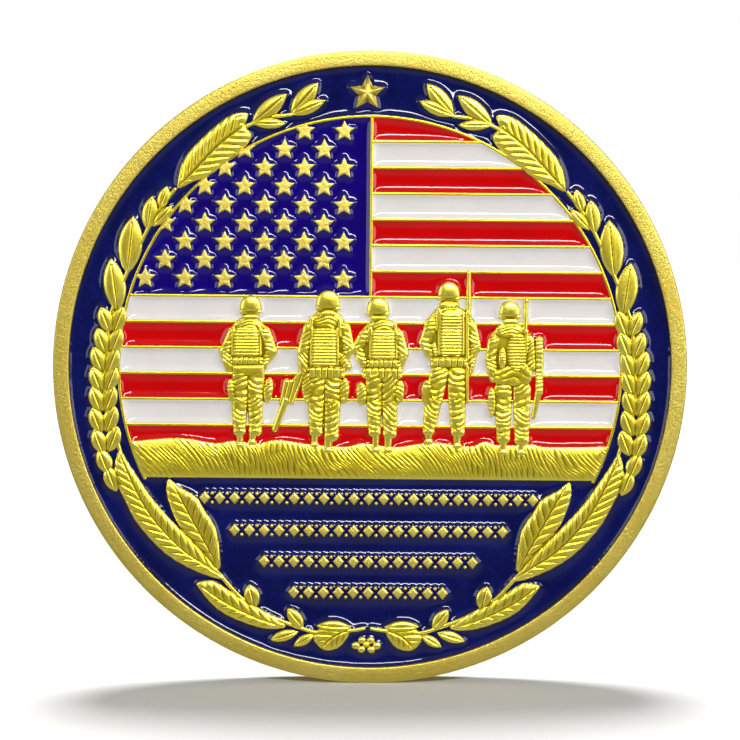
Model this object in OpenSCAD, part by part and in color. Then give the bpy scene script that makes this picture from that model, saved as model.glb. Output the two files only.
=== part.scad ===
// Challenge coin: one die-struck, gold-plated disc with soft-enamel pools cured in its recesses.
// The design is drawn flat, obverse towards +Z, and pose() then stands the coin on its edge.

/* [Coin] */
// Diameter over the edge
coin_d = 50.8; // [50:0.1:51.6]
// Thickness over both rims
coin_t = 3.2; // [3:0.1:4]
// Width of the flat rim on both faces
rim_w = 1.3; // [1.1:0.05:1.5]
// Bevel that breaks the edge's two corners
edge_bevel = 0.15; // [0.1:0.05:0.3]

/* [Faces] */
// Depth of the struck field below the rim
field_depth = 0.9; // [0.8:0.05:1]
// Thickness of the enamel in the field
enamel_t = 0.5; // [0.3:0.05:0.6]
// How far the thin dividing lines stand out of the enamel
line_proud = 0.12; // [0.05:0.01:0.2]
// How far the highest relief stays below the rim
relief_below_rim = 0.05; // [0:0.05:0.2]
// How far the struck design is turned about the coin's axis, in degrees
design_turn = -0.5; // [-2:0.1:2]

/* [Flag] */
// Radius of the round line that frames the flag
frame_r = 20.15; // [20:0.05:20.3]
// Width of the raised dividing lines
line_w = 0.24; // [0.2:0.01:0.3]
// Height of one stripe, line to line
stripe_pitch = 2.07; // [2.05:0.01:2.09]
// Height of the lowest line of the canton above the coin's centre
canton_y = 5.73; // [5.6:0.01:5.8]
// Radius of a canton star over its points
star_r = 0.9; // [0.7:0.05:0.95]

/* [Lower panel] */
// Height of one ornament in the four rows
ornament_h = 1.1; // [0.9:0.05:1.2]
// Distance from one ornament to the next in a row
ornament_pitch = 1.2; // [1.15:0.05:1.3]

/* [Reverse] */
// Radius of the raised ring on the reverse
ring_r = 15.6; // [15:0.1:16]
// Radius of the large star over its points
big_star_r = 12.5; // [11:0.1:13]
// Number of small stars in the enamelled band
small_stars = 13; // [9:1:16]

/* [Hidden] */

$fn = 96;
inf = 60;                                  // longer than the coin, for cutting shapes
coin_r = coin_d / 2;
field_r = coin_r - rim_w;
half_t = coin_t / 2;
field_z = half_t - field_depth;            // struck field above the mid-plane
line_h = enamel_t + line_proud;
relief_h = field_depth - relief_below_rim; // above the struck field
flag_r = frame_r - line_w / 2;             // inside of the round line
stripes = 13;
short_stripes = 7;                         // beside the canton, above its base line

// Ground that the figures stand on: its wavy top from left to right, and its straight base
ground_top = [
    [-20, -6.1], [-15.5, -5.7], [-12.5, -6.1], [-11, -5.9], [-9, -6.1], [-7.5, -5.8], [-5, -6.1],
    [-2, -6.3], [-0.5, -6], [2, -6.3], [5, -5.9], [8, -6.2], [9.2, -5.8], [10.5, -6.1],
    [13, -6], [14.5, -6.2], [20, -6.1]
];
ground_base = -8.9;

// Left branch of the wreath. Leaves are [root, tip, width].
small_leaves = [
    [[-6.5, 20.3], [-4.3, 22.8], 1.4], [[-6.5, 20.2], [-3.7, 21.4], 1.1],
    [[-9.6, 19.5], [-6.8, 21.9], 1.4], [[-9.6, 19.5], [-6.8, 19.5], 0.9],
    [[-16.9, 12.6], [-16.3, 14.5], 1], [[-17.9, 10.9], [-17.5, 13.7], 1.3], [[-17.5, 11.2], [-15.9, 12.9], 0.9],
    [[-19.5, 7.4], [-19, 12.1], 1.95], [[-20.2, 4.3], [-20.8, 8.7], 1.8],
    [[-9.1, -19.4], [-9.6, -17.5], 1.3], [[-5.2, -21], [-6.5, -19.4], 1.1],
    [[-5.6, -21.3], [-7.9, -22], 0.95], [[-4.3, -21.5], [-6, -22.5], 0.85],
    [[-1.3, -20.9], [-4.2, -20.8], 1]
];
// Broad leaves as outlines
broad_leaves = [
    [[-15.5, 14.3], [-15.3, 15.9], [-14.7, 17.1], [-13.8, 18.1], [-12.5, 19.3], [-11.2, 20.2], [-9.9, 20.3],
     [-10.1, 19.3], [-9.6, 18.7], [-9.8, 18], [-10.6, 17.2], [-11.8, 16.2], [-12.8, 15.4], [-14.2, 14.8]],
    [[-20.3, -7.2], [-20.4, -9], [-19.6, -10.9], [-18.6, -12.7], [-16.8, -14.7], [-15.1, -15.9],
     [-13.1, -16.8], [-11.5, -17.1], [-12.2, -16.2], [-13.1, -15.1], [-14.5, -13.7], [-16.1, -12.1],
     [-17.4, -10.6], [-18.5, -9], [-19.2, -7.5]],
    [[-12, -16.3], [-13.6, -14.7], [-15.2, -12.9], [-16, -11.2], [-16.2, -10], [-15.8, -9.2], [-15, -9.3],
     [-13.9, -10.4], [-13.2, -11.5], [-12.4, -12.7], [-12, -14.3]],
    [[-13.8, -17.4], [-12.5, -17.2], [-11.3, -17.9], [-9.9, -18.8], [-8, -19.8], [-6.6, -20.9],
     [-8.3, -21.1], [-10.6, -20.4], [-12.2, -19.5], [-13.4, -18.2]],
    [[-1.4, -21.1], [-2.5, -20.7], [-3.9, -21], [-4.4, -21.9], [-3.5, -22.8], [-2.2, -22.5]]
];
ear_outer_tips = [
    [-21.6, 4.8], [-21.9, 3.1], [-22.2, 1.6], [-22.3, 0], [-22.3, -1.6], [-22.3, -3.3],
    [-22.1, -5], [-21.7, -6.6], [-21.1, -8]
];
ear_inner_tips = [
    [-19.8, 4.8], [-20, 3.1], [-20.3, 1.5], [-20.4, 0], [-20.5, -1.6], [-20.4, -3.2], [-20.2, -4.8]
];
ear_root = [0.8, -2.1];                    // from an outer tip to its leaf's root, mirrored for an inner one
ear_w = 1.05;
stems = [
    [[-6.5, 20.2], [-9.7, 19.4], [-10.6, 18.9]],
    [[-15.7, 14.2], [-17.3, 12], [-18.7, 9.3], [-19.8, 6.8], [-20.9, 3.8], [-21.1, 0.8], [-21.3, -1.2],
     [-21.2, -2.7], [-20.9, -4.2], [-20.2, -6.2], [-19.8, -7.7]],
    [[-11.8, -16.9], [-10, -18.8], [-7.8, -20.1], [-4, -21.4], [-0.3, -21]]
];
stem_w = 0.4;
crevice_r = 0.06;
ring_w = 0.6;                              // raised ring on the reverse
flower_at = [-0.1, -22.3];
top_star_at = [-0.4, 22];
top_star_r = 1.5;

// Five figures seen from behind, as [[from], [to], first radius, last radius] stretches
figures = [
    [   // first from the left
        [[-9.6, 4.85], [-9.6, 4.7], 0.88, 0.8], [[-9.6, 4], [-9.6, 3.6], 0.5, 0.7],
        [[-10.7, 2.7], [-8.6, 2.7], 0.75, 0.75], [[-9.7, 2.4], [-9.7, 0], 1.3, 1.35],
        [[-11, 2.6], [-11.6, 1.2], 0.5, 0.5], [[-11.6, 1.2], [-10.9, 0.1], 0.5, 0.4],
        [[-8.4, 2.6], [-7.9, 1.2], 0.5, 0.45], [[-7.9, 1.2], [-8.4, 0.1], 0.45, 0.4],
        [[-10.4, -0.6], [-10.5, -4.9], 0.75, 0.5], [[-9.1, -0.6], [-9.2, -4.9], 0.75, 0.5],
        [[-10.4, -5], [-10.4, -6.3], 0.35, 0.35], [[-9.4, -5], [-9.4, -6.1], 0.35, 0.35],
        [[-11.1, -1.2], [-11.1, -2.7], 0.35, 0.35], [[-8.3, -1.2], [-8.3, -2.7], 0.35, 0.35]
    ],
    [   // second, with a rifle at the left
        [[-3.4, 5.2], [-3.4, 4.95], 0.98, 0.9], [[-3.4, 4.2], [-3.4, 3.6], 0.8, 1.2],
        [[-4.5, 3.2], [-2.4, 3.2], 0.8, 0.8], [[-3.6, 2.8], [-3.6, -0.2], 1.35, 1.3],
        [[-4.9, 2.9], [-5.3, 1.2], 0.5, 0.45], [[-5.3, 1.2], [-5.4, -0.6], 0.45, 0.35],
        [[-2, 3], [-1.7, 1.6], 0.5, 0.4], [[-1.7, 1.6], [-2.4, 0.2], 0.4, 0.4],
        [[-4.3, -1], [-4.3, -4.9], 0.75, 0.5], [[-3, -1], [-3, -5.2], 0.75, 0.6],
        [[-4.4, -5], [-4.4, -6.1], 0.35, 0.35], [[-3.3, -5.4], [-3.3, -6.4], 0.4, 0.4],
        [[-2.2, -1.2], [-2.2, -2.6], 0.35, 0.35],
        [[-5.6, -0.2], [-6.4, -1.6], 0.35, 0.5], [[-6.4, -1.6], [-6.7, -2.6], 0.5, 0.35],
        [[-6.7, -2.6], [-7.7, -5], 0.2, 0.16]
    ],
    [   // third
        [[0.6, 4.85], [0.6, 4.6], 0.92, 0.82], [[0.6, 4], [0.7, 3.6], 0.5, 0.7],
        [[0, 2.7], [2, 2.7], 0.75, 0.75], [[1, 2.4], [1, -0.2], 1.3, 1.3],
        [[-0.4, 2.7], [-0.9, 1.6], 0.5, 0.45], [[-0.9, 1.6], [-0.3, 0.3], 0.45, 0.4],
        [[2.2, 2.6], [2.6, 1.1], 0.5, 0.45], [[2.6, 1.1], [2.2, 0], 0.45, 0.4],
        [[0.3, -0.7], [0.4, -4.9], 0.7, 0.5], [[1.6, -0.7], [1.6, -4.9], 0.7, 0.55],
        [[0.5, -5], [0.5, -6.5], 0.35, 0.4], [[1.5, -5], [1.5, -6.4], 0.35, 0.4],
        [[-0.6, -1.6], [-0.6, -2.6], 0.4, 0.35], [[2.4, -1.2], [2.4, -2.5], 0.35, 0.35]
    ],
    [   // fourth, the tallest, with a long upright barrel at the right
        [[6.2, 6.05], [6.2, 5.8], 0.85, 0.85], [[6.3, 5.1], [6.4, 4.4], 0.5, 0.9],
        [[5.2, 3.8], [7.6, 3.8], 0.8, 0.8], [[6.4, 3.4], [6.4, 0.4], 1.5, 1.35],
        [[4.9, 3.5], [4.5, 1.8], 0.5, 0.45], [[4.5, 1.8], [5, 0.3], 0.45, 0.4],
        [[8, 3.4], [8.4, 1.9], 0.5, 0.45], [[8.4, 1.9], [7.9, 0.5], 0.45, 0.35],
        [[5.5, -0.4], [4.8, -4.8], 0.8, 0.5], [[7, -0.4], [7, -4.8], 0.8, 0.55],
        [[4.8, -4.9], [4.8, -6.1], 0.35, 0.35], [[7, -4.9], [7, -6.4], 0.35, 0.4],
        [[4.6, -1.4], [4.6, -2.2], 0.4, 0.4], [[7.8, 7.6], [7.8, -2.6], 0.15, 0.15]
    ],
    [   // fifth, with slung gear at the right
        [[11.1, 4.7], [11.1, 4.4], 0.88, 0.8], [[11.2, 3.8], [11.2, 3.2], 0.6, 0.8],
        [[10.3, 2.4], [12.3, 2.4], 0.75, 0.75], [[11.3, 2.2], [11.4, -0.6], 1.4, 1.4],
        [[9.9, 2.2], [9.7, 0.9], 0.5, 0.45], [[9.7, 0.9], [10, -0.4], 0.45, 0.4],
        [[12.8, 2.2], [13.3, 0.8], 0.5, 0.5], [[10.7, -1.5], [10.8, -5.3], 0.75, 0.55],
        [[12.2, -1.5], [12.2, -5.3], 0.75, 0.6], [[10.8, -5.5], [10.8, -6.6], 0.35, 0.4],
        [[12.2, -5.5], [12.2, -6.6], 0.35, 0.4], [[9.9, -1.8], [9.9, -3.4], 0.3, 0.3],
        [[12.4, 5.5], [12.4, 3], 0.2, 0.14], [[13.6, 2.3], [13.6, -1.8], 0.32, 0.32],
        [[13.6, -1.8], [13.2, -3.8], 0.3, 0.2]
    ]
];

// Canton stars, row by row from the base line up: the first star from the divider, and the row's height
star_rows = [for (row = [0 : 8]) [row % 2 == 0 ? -2.2 : -3.8, 7.1 + 1.48 * row]];
star_pitch = 3.17;

// Four centred rows of ornament: [height, half the row's length]
ornament_rows = [[-10.5, 13.2], [-13.1, 11.5], [-15.6, 8.9], [-18.1, 6.7]];

function line_y(k) = canton_y + stripe_pitch * (short_stripes - 1 - k); // k-th dividing line from the top, 0 to 11
function star_points(r, waist = 0.48) =
    [for (k = [0 : 9]) (k % 2 == 0 ? r : r * waist) * [sin(36 * k), cos(36 * k)]];

module pose() { translate([0, 0, coin_r]) rotate([90, 0, 0]) children(); }
module on_obverse(h, from = 0) {
    pose() rotate([0, 0, design_turn]) translate([0, 0, field_z + from]) linear_extrude(h) children();
}
module on_reverse(h) {
    pose() mirror([0, 0, 1]) mirror([1, 0, 0]) translate([0, 0, field_z]) linear_extrude(h) children();
}
module both_sides() { children(); mirror([1, 0]) children(); }
module disc(r) { circle(r, $fn = 180); }

// A pointed leaf, bulging evenly to both sides of the line from root to tip
module leaf(root, tip, w) {
    n = 8;
    side = [root.y - tip.y, tip.x - root.x] / norm(tip - root) * w / 2;
    function edge(t) = side * 4 * t * (1 - t);
    polygon(concat(
        [for (k = [0 : n]) root + (tip - root) * k / n + edge(k / n)],
        [for (k = [n - 1 : -1 : 1]) root + (tip - root) * k / n - edge(k / n)]
    ));
}

// A round-ended bar whose width changes from one end to the other
module bar(a, b, ra, rb) {
    along = (b - a) / norm(b - a);
    lean = (ra - rb) / norm(b - a);
    out = sqrt(1 - lean * lean);
    left = lean * along + out * [-along.y, along.x];
    right = lean * along - out * [-along.y, along.x];
    translate(a) circle(ra, $fn = 18);
    translate(b) circle(rb, $fn = 18);
    polygon([a + ra * left, b + rb * left, b + rb * right, a + ra * right]);
}

// Small fillets in the inner corners between the stretches of one outline
module rounded_crevices() { offset(r = -crevice_r, $fn = 8) offset(r = crevice_r, $fn = 8) children(); }

module branch_2d() {
    for (l = small_leaves) leaf(l[0], l[1], l[2]);
    for (l = broad_leaves) polygon(l);
    for (tip = ear_outer_tips) leaf(tip + ear_root, tip, ear_w);
    for (tip = ear_inner_tips) leaf(tip + [-ear_root.x, ear_root.y], tip, ear_w);
    rounded_crevices() for (s = stems, k = [1 : len(s) - 1]) bar(s[k - 1], s[k], stem_w / 2, stem_w / 2);
}
module wreath_2d() {
    difference() {
        both_sides() branch_2d();
        window_2d(frame_r);
    }
    for (k = [0 : 5]) translate(flower_at + 0.6 * [cos(60 * k), 0.6 * sin(60 * k)]) circle(0.4);
    translate(flower_at) circle(0.4);
}
// The round window of the flag, cut off at the foot of the ground
module window_2d(r) {
    intersection() {
        disc(r);
        translate([-inf / 2, ground_base]) square([inf, inf]);
    }
}
module ground_2d() {
    intersection() {
        disc(frame_r);
        polygon(concat(ground_top, [[20, ground_base], [-20, ground_base]]));
    }
}
module figures_2d() {
    rounded_crevices() for (f = figures, s = f) bar(s[0], s[1], s[2], s[3]);
}
module lines_2d() {
    difference() {
        window_2d(frame_r + line_w / 2);
        disc(flag_r);
    }
    intersection() {
        disc(frame_r);
        union() {
            translate([-line_w / 2, canton_y]) square([line_w, inf]);
            for (k = [0 : stripes - 2])
                translate([k < short_stripes - 1 ? 0 : -inf / 2, line_y(k) - line_w / 2])
                    square([inf / 2 * (k < short_stripes - 1 ? 1 : 2), line_w]);
        }
    }
}
module canton_stars_2d() {
    intersection() {
        disc(frame_r);
        for (row = star_rows, k = [0 : 5])
            if (norm([row.x - star_pitch * k, row.y]) < frame_r)
                translate([row.x - star_pitch * k, row.y]) polygon(star_points(star_r));
    }
}
module ornament_2d() {
    w = 0.78 * ornament_pitch;
    for (row = ornament_rows) {
        n = floor(row[1] / ornament_pitch);
        for (k = [-n : n]) translate([k * ornament_pitch, row[0]])
            polygon([[w / 2, 0], [0, ornament_h / 2], [-w / 2, 0], [0, -ornament_h / 2]]);
        for (k = [-n : n - 1]) for (end = [-1, 1])
            translate([(k + 0.5) * ornament_pitch, row[0] + end * ornament_h / 3]) circle(0.15);
    }
}
module top_star_2d() { translate(top_star_at) polygon(star_points(top_star_r)); }
module small_stars_2d() {
    for (k = [0 : small_stars - 1])
        rotate([0, 0, 360 / small_stars * k]) translate([0, (ring_r + field_r) / 2])
            polygon(star_points(1.5));
}

// Everything on the obverse that stands out of the field
module relief_2d() {
    tall_relief_2d();
    lines_2d();
    canton_stars_2d();
}
module tall_relief_2d() {
    wreath_2d();
    top_star_2d();
    ornament_2d();
    ground_2d();
    figures_2d();
}
// The thin lines and the canton's stars, with a margin round them, clear of the tall relief
module low_relief_2d() {
    difference() {
        intersection() {
            disc(frame_r + line_w);
            translate([-inf / 2, ground_base]) square([inf, inf]);
        }
        tall_relief_2d();
    }
}
module reverse_relief_2d() {
    difference() { disc(ring_r + ring_w / 2); disc(ring_r - ring_w / 2); }
    small_stars_2d();
    polygon(star_points(big_star_r, 0.4));
}

// The disc before its fields are sunk: flat rims, with the faces inside them at the relief's height
module blank() {
    face_z = field_z + relief_h;
    step_r = field_r - 0.1;                // the fields' walls are cut a little outside this
    pose() rotate_extrude($fn = 180) polygon([
        [0, -face_z], [step_r, -face_z], [step_r, -half_t], [coin_r - edge_bevel, -half_t],
        [coin_r, edge_bevel - half_t], [coin_r, half_t - edge_bevel], [coin_r - edge_bevel, half_t],
        [step_r, half_t], [step_r, face_z], [0, face_z]
    ]);
}

module struck_body() {
    color([0.78, 0.64, 0.22]) difference() {
        blank();
        on_obverse(inf) difference() { disc(field_r); relief_2d(); }
        on_obverse(inf, from = line_h) low_relief_2d();
        on_reverse(inf) difference() { disc(field_r); reverse_relief_2d(); }
    }
}
module obverse_field_enamel() {
    color([0.02, 0.03, 0.3]) on_obverse(enamel_t) difference() {
        disc(field_r);
        window_2d(frame_r + line_w / 2);
        wreath_2d();
        top_star_2d();
        ornament_2d();
    }
}
module canton_enamel() {
    color([0.13, 0.02, 0.5]) on_obverse(enamel_t) difference() {
        intersection() {
            disc(flag_r);
            translate([-inf / 2 - line_w / 2, canton_y + line_w / 2]) square([inf / 2, inf]);
        }
        canton_stars_2d();
    }
}
// The k-th stripe from the top, 0 to 12: the pools between two lines that the relief leaves open
module stripe_enamel(k) {
    low = k == stripes - 1 ? -inf / 2 : line_y(k) + line_w / 2;
    high = k == 0 ? inf / 2 : line_y(k - 1) - line_w / 2;
    left = k < short_stripes ? line_w / 2 : -inf / 2;
    color(k % 2 == 0 ? [0.75, 0, 0.05] : [0.93, 0.92, 0.92]) on_obverse(enamel_t) difference() {
        intersection() {
            disc(flag_r);
            translate([left, low]) square([inf, high - low]);
        }
        if (k >= short_stripes - 2) figures_2d();
        if (k == stripes - 1) polygon(concat(ground_top, [[20, -inf / 2], [-20, -inf / 2]]));
    }
}
module reverse_band_enamel() {
    color([0.02, 0.03, 0.3]) on_reverse(enamel_t) difference() {
        disc(field_r);
        disc(ring_r + ring_w / 2);
        small_stars_2d();
    }
}

struck_body();
obverse_field_enamel();
canton_enamel();
stripe_enamel(0);  // stripe_01_red
stripe_enamel(1);  // stripe_02_white
stripe_enamel(2);  // stripe_03_red
stripe_enamel(3);  // stripe_04_white
stripe_enamel(4);  // stripe_05_red
stripe_enamel(5);  // stripe_06_white
stripe_enamel(6);  // stripe_07_red
stripe_enamel(7);  // stripe_08_white
stripe_enamel(8);  // stripe_09_red
stripe_enamel(9);  // stripe_10_white
stripe_enamel(10);  // stripe_11_red
stripe_enamel(11);  // stripe_12_white
stripe_enamel(12);  // stripe_13_red
reverse_band_enamel();
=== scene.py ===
"""The looks of a struck and enamelled challenge coin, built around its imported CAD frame.

Lengths are in millimetres and are drawn flat in the coin's own plane: x to the right and y up as seen from
the obverse, both from the coin's centre, and heights from the floor of the struck field. place() turns them
into the frame's metres, with the coin standing on its edge and its obverse towards -Y.
"""
import math

import bpy
import numpy as np
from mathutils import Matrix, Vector


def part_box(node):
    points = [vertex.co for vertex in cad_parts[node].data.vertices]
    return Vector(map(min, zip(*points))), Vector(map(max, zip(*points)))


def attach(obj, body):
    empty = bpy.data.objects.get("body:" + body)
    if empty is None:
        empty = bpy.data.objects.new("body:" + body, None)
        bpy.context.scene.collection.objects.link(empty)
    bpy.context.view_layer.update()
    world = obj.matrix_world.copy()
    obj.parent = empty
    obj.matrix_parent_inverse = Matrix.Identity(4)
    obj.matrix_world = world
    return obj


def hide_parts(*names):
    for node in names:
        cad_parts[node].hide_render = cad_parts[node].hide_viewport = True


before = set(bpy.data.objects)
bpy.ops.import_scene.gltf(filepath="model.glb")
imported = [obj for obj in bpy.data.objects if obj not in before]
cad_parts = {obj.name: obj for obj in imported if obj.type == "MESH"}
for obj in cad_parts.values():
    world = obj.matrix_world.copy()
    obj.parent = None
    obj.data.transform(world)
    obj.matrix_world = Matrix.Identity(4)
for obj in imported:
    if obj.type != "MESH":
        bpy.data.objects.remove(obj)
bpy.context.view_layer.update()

# ---- sizes taken from the frame
MM = 1000.0
body_low, body_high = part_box("struck_body")
pool_low, pool_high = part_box("canton_enamel")
COIN_R = (body_high.x - body_low.x) / 2 * MM
HALF_T = (body_high.y - body_low.y) / 2 * MM
CENTRE_Z = (body_low.z + body_high.z) / 2 * MM
FIELD_Z = -pool_high.y * MM             # the struck field's floor, out from the mid-plane
ENAMEL = (pool_high.y - pool_low.y) * MM
DEPTH = HALF_T - FIELD_Z                # rim above the floor

# ---- the struck design
RIM_W = 1.3
FIELD_R = COIN_R - RIM_W
TURN = math.radians(-0.5)               # the whole obverse design is turned a little on the coin
PITCH = 0.05                            # grid of the relief
ENAMEL_STEP = 2                         # the enamel's grid, in relief cells
FLANK = 3.0                             # steepness of the die's side walls
FOOT = -0.06                            # relief pieces go this far under the floor
FLOOR_SHOWS = 0.02                      # the enamel's underside, above the floor
SUNK = 0.15                             # the middle of a pool lies this far under the enamel's mean level
TUCK = 2                                # the enamel goes this many relief cells under the metal

FRAME_R, LINE_W, LINE_TOP = 20.15, 0.24, 0.63
STRIPE, CANTON_Y, SHORT_STRIPES, STRIPES = 2.07, 5.73, 7, 13
GROUND_Y = -8.9
STAR_R, STAR_WAIST = 0.9, 0.48
EDGE = 0.6                              # usual height of a shape's outline, from where its wall drops
RING_R, RING_W, RING_TOP = 15.6, 0.6, 0.7      # the reverse's raised ring
SMALL_STARS, SMALL_STAR_R = 13, 1.5            # in the band round it
STRUCK = ("gold_plated_metal", "struck_body")  # material slot and node of all the metal

FAR, TINY = 1e9, 1e-9
FIFTH = 2 * math.pi / 5


def line_y(k):
    """Height of the k-th dividing line of the flag from the top, 0 to 11."""
    return CANTON_Y + STRIPE * (SHORT_STRIPES - 1 - k)


def place(x, y, z, obverse=True):
    """Coin coordinates to the frame's metres, as an array with one row per point."""
    side = 1.0 if obverse else -1.0
    turn = TURN if obverse else 0.0
    u = (x * math.cos(turn) - y * math.sin(turn)) * side
    v = x * math.sin(turn) + y * math.cos(turn) + CENTRE_Z
    return np.stack([u, -side * (FIELD_Z + z), v], axis=-1) / MM


def segment(x, y, a, b):
    """The share of the way from a to b at which the nearest point lies, and the distance to it."""
    ex, ey = b[0] - a[0], b[1] - a[1]
    t = np.clip(((x - a[0]) * ex + (y - a[1]) * ey) / max(ex * ex + ey * ey, TINY), 0, 1)
    return t, np.hypot(x - a[0] - t * ex, y - a[1] - t * ey)


def near_line(x, y, points):
    """Distance to a bent line."""
    away = np.full(x.shape, FAR)
    for a, b in zip(points[:-1], points[1:]):
        away = np.minimum(away, segment(x, y, a, b)[1])
    return away


# ---- shapes: depth is positive inside one
def bar(a, b, ra, rb):
    """A round-ended bar from a to b whose radius goes from ra to rb."""
    a, b = np.array(a, float), np.array(b, float)
    reach = max(ra, rb)
    box = (*(np.minimum(a, b) - reach), *(np.maximum(a, b) + reach))

    def depth(x, y):
        t, away = segment(x, y, a, b)
        return ra + (rb - ra) * t - away

    return depth, box


def oval(c, rx, ry, turn=0.0):
    """An ellipse about c, turned by an angle in degrees."""
    cos, sin, reach = math.cos(math.radians(turn)), math.sin(math.radians(turn)), max(rx, ry)

    def depth(x, y):
        u = (x - c[0]) * cos + (y - c[1]) * sin
        v = (y - c[1]) * cos - (x - c[0]) * sin
        k = np.hypot(u / rx, v / ry)
        slope = np.hypot(u / rx**2, v / ry**2)
        return np.where(k > 0.2, (1 - k) * k / np.maximum(slope, 1e-6), min(rx, ry) * (1 - k * 0.5))

    return depth, (c[0] - reach, c[1] - reach, c[0] + reach, c[1] + reach)


def leaf(root, tip, width):
    """A pointed leaf between two arcs."""
    root, tip = np.array(root, float), np.array(tip, float)
    chord = math.dist(root, tip)
    radius = (chord**2 + width**2) / (4 * width)
    across = np.array([root[1] - tip[1], tip[0] - root[0]]) / chord * (radius - width / 2)
    mid = (root + tip) / 2
    c1, c2 = mid + across, mid - across

    def depth(x, y):
        return radius - np.maximum(np.hypot(x - c1[0], y - c1[1]), np.hypot(x - c2[0], y - c2[1]))

    low, high = np.minimum(root, tip) - width / 2, np.maximum(root, tip) + width / 2
    return depth, (*low, *high)


def outline(points):
    """A closed polygon."""
    p = np.array(points, float)
    q = np.roll(p, -1, axis=0)

    def depth(x, y):
        away = np.full(x.shape, FAR)
        inside = np.zeros(x.shape, bool)
        for a, b in zip(p, q):
            away = np.minimum(away, segment(x, y, a, b)[1])
            if a[1] != b[1]:
                crossing = (b[0] - a[0]) * (y - a[1]) / (b[1] - a[1]) + a[0]
                inside ^= ((a[1] > y) != (b[1] > y)) & (x < crossing)
        return np.where(inside, away, -away)

    return depth, (*p.min(axis=0), *p.max(axis=0))


def smooth(points, steps=6, closed=False):
    """A Catmull-Rom curve through the points."""
    p = np.array(points, float)
    n = len(p)
    at = (lambda i: p[i % n]) if closed else (lambda i: p[min(max(i, 0), n - 1)])
    out = []
    for i in range(n if closed else n - 1):
        a, b, c, d = at(i - 1), at(i), at(i + 1), at(i + 2)
        for t in np.arange(steps) / steps:
            out.append(0.5 * (2 * b + (c - a) * t + (2 * a - 5 * b + 4 * c - d) * t**2
                              + (3 * b - a - 3 * c + d) * t**3))
    if not closed:
        out.append(p[-1])
    return np.array(out)


def star(c, r, waist=STAR_WAIST, turn=0.0):
    """A five-pointed star, turned by turn in radians. waist is its inner corners' share of r."""
    k = np.arange(10)
    size = np.where(k % 2 == 0, r, r * waist)
    angle = k * FIFTH / 2 - turn
    return outline(np.stack([c[0] + size * np.sin(angle), c[1] + size * np.cos(angle)], 1))


def along_bar(x, y, a, b):
    """Distance along and across the line from a to b."""
    a, b = np.array(a, float), np.array(b, float)
    e = (b - a) / max(math.dist(a, b), TINY)
    return (x - a[0]) * e[0] + (y - a[1]) * e[1], (y - a[1]) * e[0] - (x - a[0]) * e[1]


# ---- surface patterns, in mm added to a height
def folds(a, b, pitch, amount, sag=0.0, lean=0.0, shift=0.0):
    """Folds of cloth stacked along a limb that come and go. sag bows them, lean slants them."""
    def pattern(x, y, depth):
        s, c = along_bar(x, y, a, b)
        warp = 0.22 * np.sin(1.9 * s + 2.6 * c + 9 * shift) + 0.12 * np.sin(4.3 * s - 3.1 * c + 5 * shift)
        u = (s + sag * c * c + lean * c) / pitch + shift + warp
        fade = 0.55 + 0.45 * np.sin(2.7 * s - 3.4 * c + 13 * shift + 1.5 * np.sin(1.3 * s + 4.1 * c))
        ridge = np.abs(np.cos(math.pi * u)) ** 0.9
        return amount * fade * (ridge - 0.7) * np.clip(depth / 0.16, 0, 1)
    return pattern


def ribs(y0, pitch, amount):
    """Level webbing rows with narrow gaps."""
    def pattern(x, y, depth):
        row = np.abs(np.sin(math.pi * (y - y0) / pitch)) ** 0.5
        return amount * (row - 0.9) * np.clip(depth / 0.08, 0, 1)
    return pattern


def pouches(x0, pitch, amount):
    """Upright gaps between pouches on a belt."""
    def pattern(x, y, depth):
        u = (x - x0) / pitch
        v = np.abs(u - np.floor(u) - 0.5) * 2
        return -amount * v**6 * np.clip(depth / 0.05, 0, 1)
    return pattern


def grooves(lines, width, amount):
    """Engraved lines; a negative amount raises them."""
    def pattern(x, y, depth):
        out = np.zeros(x.shape)
        for line in lines:
            out = np.maximum(out, np.exp(-((near_line(x, y, line) / width) ** 2)))
        return -amount * out * np.clip(depth / 0.05, 0, 1)
    return pattern


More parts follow.
